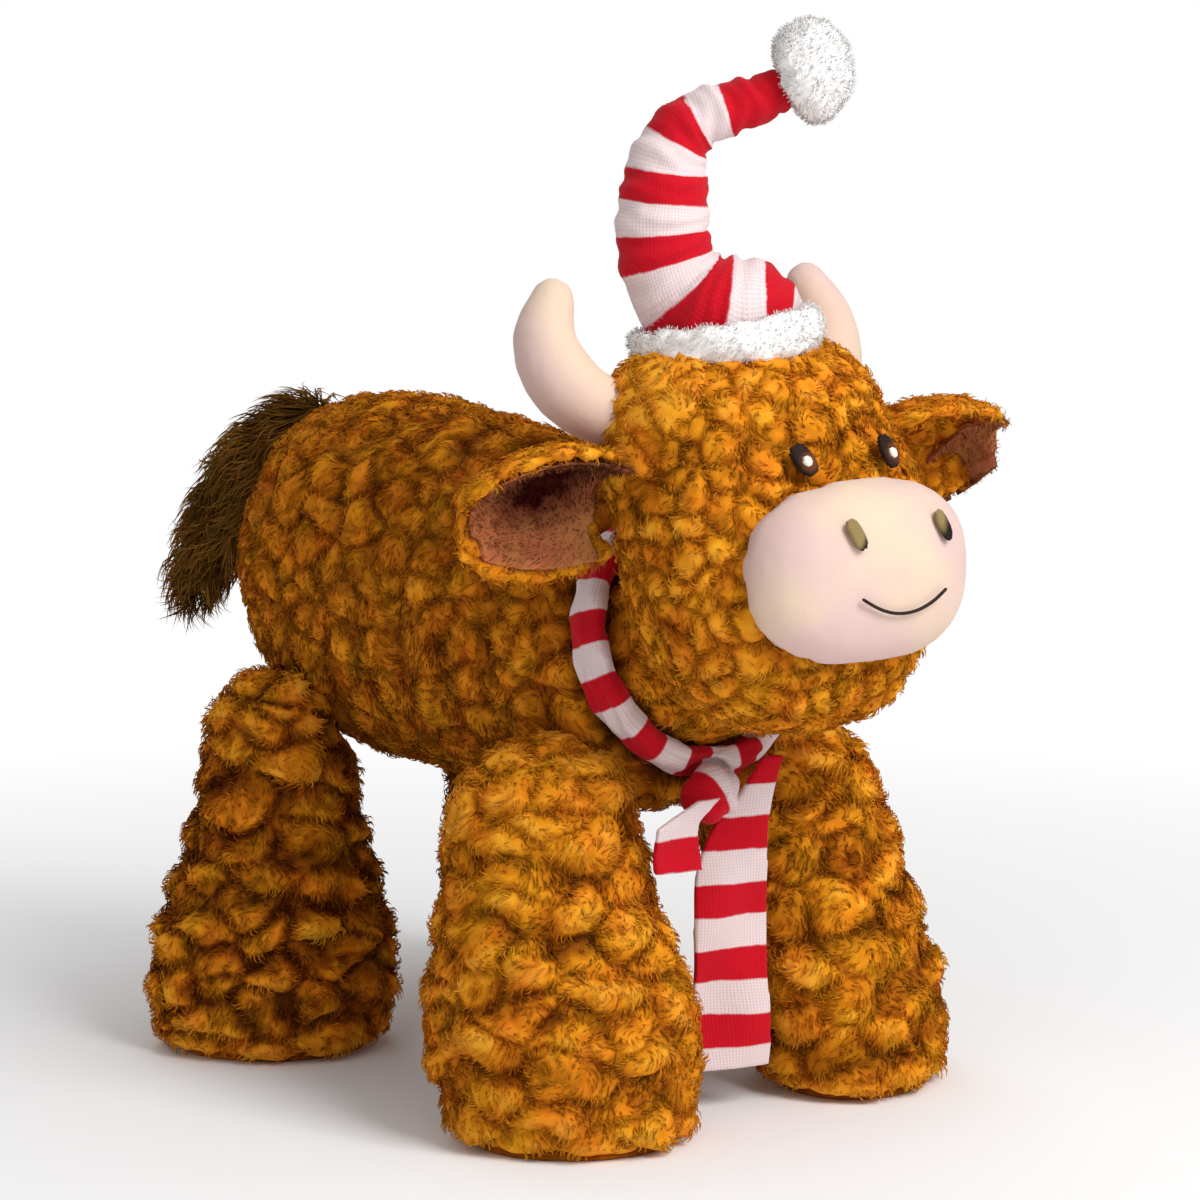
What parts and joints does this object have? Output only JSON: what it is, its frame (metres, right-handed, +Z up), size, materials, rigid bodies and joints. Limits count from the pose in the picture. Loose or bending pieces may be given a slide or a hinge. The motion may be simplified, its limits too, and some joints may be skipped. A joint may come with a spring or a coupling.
{
  "type": "plush cow",
  "caption": "Standing stuffed cow in curly pile with cupped ears, soft horns, jointed soft limbs, a striped stocking hat with a pompom and a knotted striped scarf.",
  "frame": {"origin": "middle of the box on plan, on the surface that the four soles stand on", "axes": "+Z up, the face looks along -Y, the toy's own left side is +X"},
  "size_m": [0.186, 0.3266, 0.3203],
  "materials": {
    "curly_pile": "ginger brown curly rosette pile",
    "long_pile": "darker brown long pile",
    "sole_pile": "short brown pile",
    "ear_lining": "short red-brown plush",
    "velour": "pale pinkish cream velour",
    "dark_thread": "dark brown satin stitch",
    "pale_thread": "pale satin stitch",
    "olive_thread": "olive brown satin stitch",
    "striped_knit": "fine jersey in red and white stripes",
    "white_fleece": "white long-haired fleece"
  },
  "bodies": {
    "trunk": {"body": "curly_pile", "scarf_loop": "striped_knit", "scarf_knot": "striped_knit"},
    "head": {"head": "curly_pile", "muzzle": "velour", "smile_stitch": "dark_thread", "eye_right": "dark_thread", "eye_left": "dark_thread", "eye_glint_right": "pale_thread", "eye_glint_left": "pale_thread", "nostril_right": "olive_thread", "nostril_left": "olive_thread", "horn_right": "velour", "horn_left": "velour", "hat_stocking": "striped_knit", "hat_brim": "white_fleece"},
    "ear_right": {"ear_right": "curly_pile", "ear_lining_right": "ear_lining"},
    "ear_left": {"ear_left": "curly_pile", "ear_lining_left": "ear_lining"},
    "pompom": {"hat_pompom": "white_fleece"},
    "tail": {"tail": "long_pile"},
    "leg_front_right": {"leg_front_right": "curly_pile", "sole_front_right": "sole_pile"},
    "leg_front_left": {"leg_front_left": "curly_pile", "sole_front_left": "sole_pile"},
    "leg_rear_right": {"leg_rear_right": "curly_pile", "sole_rear_right": "sole_pile"},
    "leg_rear_left": {"leg_rear_left": "curly_pile", "sole_rear_left": "sole_pile"},
    "scarf_long_end": {"scarf_long_end": "striped_knit"},
    "scarf_short_end": {"scarf_short_end": "striped_knit"}
  },
  "joints": [
    {"name": "head_nod", "type": "hinge", "parent": "trunk", "child": "head", "pos_m": [0, -0.07289, 0.13812], "axis": [1, 0, 0], "range_deg": [-10, 7], "stiffness_Nm_per_rad": 3, "springref_deg": -0.57},
    {"name": "ear_right_flop", "type": "hinge", "parent": "head", "child": "ear_right", "pos_m": [-0.047, -0.09413, 0.18229], "axis": [-0.2644, -0.5669, 0.7802], "range_deg": [-18, 18], "stiffness_Nm_per_rad": 0.08},
    {"name": "ear_left_flop", "type": "hinge", "parent": "head", "child": "ear_left", "pos_m": [0.047, -0.09411, 0.18453], "axis": [-0.4419, -0.6231, 0.6453], "range_deg": [-18, 18], "stiffness_Nm_per_rad": 0.08},
    {"name": "pompom_dangle", "type": "hinge", "parent": "head", "child": "pompom", "pos_m": [0.00601, -0.10034, 0.29821], "axis": [-0.6428, -0.766, 0], "range_deg": [-20, 20], "stiffness_Nm_per_rad": 0.06},
    {"name": "tail_wag", "type": "hinge", "parent": "trunk", "child": "tail", "pos_m": [0, 0.10111, 0.1891], "axis": [0, 1, 0], "range_deg": [-25, 25], "stiffness_Nm_per_rad": 0.08},
    {"name": "leg_front_right_swing", "type": "hinge", "parent": "trunk", "child": "leg_front_right", "pos_m": [-0.048, -0.06189, 0.089], "axis": [1, 0, 0], "range_deg": [-10, 10], "stiffness_Nm_per_rad": 2.5},
    {"name": "leg_front_left_swing", "type": "hinge", "parent": "trunk", "child": "leg_front_left", "pos_m": [0.048, -0.06189, 0.089], "axis": [1, 0, 0], "range_deg": [-10, 10], "stiffness_Nm_per_rad": 2.5},
    {"name": "leg_rear_right_swing", "type": "hinge", "parent": "trunk", "child": "leg_rear_right", "pos_m": [-0.048, 0.06711, 0.094], "axis": [1, 0, 0], "range_deg": [-10, 10], "stiffness_Nm_per_rad": 2.5},
    {"name": "leg_rear_left_swing", "type": "hinge", "parent": "trunk", "child": "leg_rear_left", "pos_m": [0.048, 0.06711, 0.094], "axis": [1, 0, 0], "range_deg": [-10, 10], "stiffness_Nm_per_rad": 2.5},
    {"name": "scarf_long_swing", "type": "hinge", "parent": "trunk", "child": "scarf_long_end", "pos_m": [0.0075, -0.08851, 0.09765], "axis": [1, 0, 0], "range_deg": [-35, 5]},
    {"name": "scarf_short_swing", "type": "hinge", "parent": "trunk", "child": "scarf_short_end", "pos_m": [-0.013, -0.09711, 0.09715], "axis": [1, 0, 0], "range_deg": [-25, 5]}
  ]
}
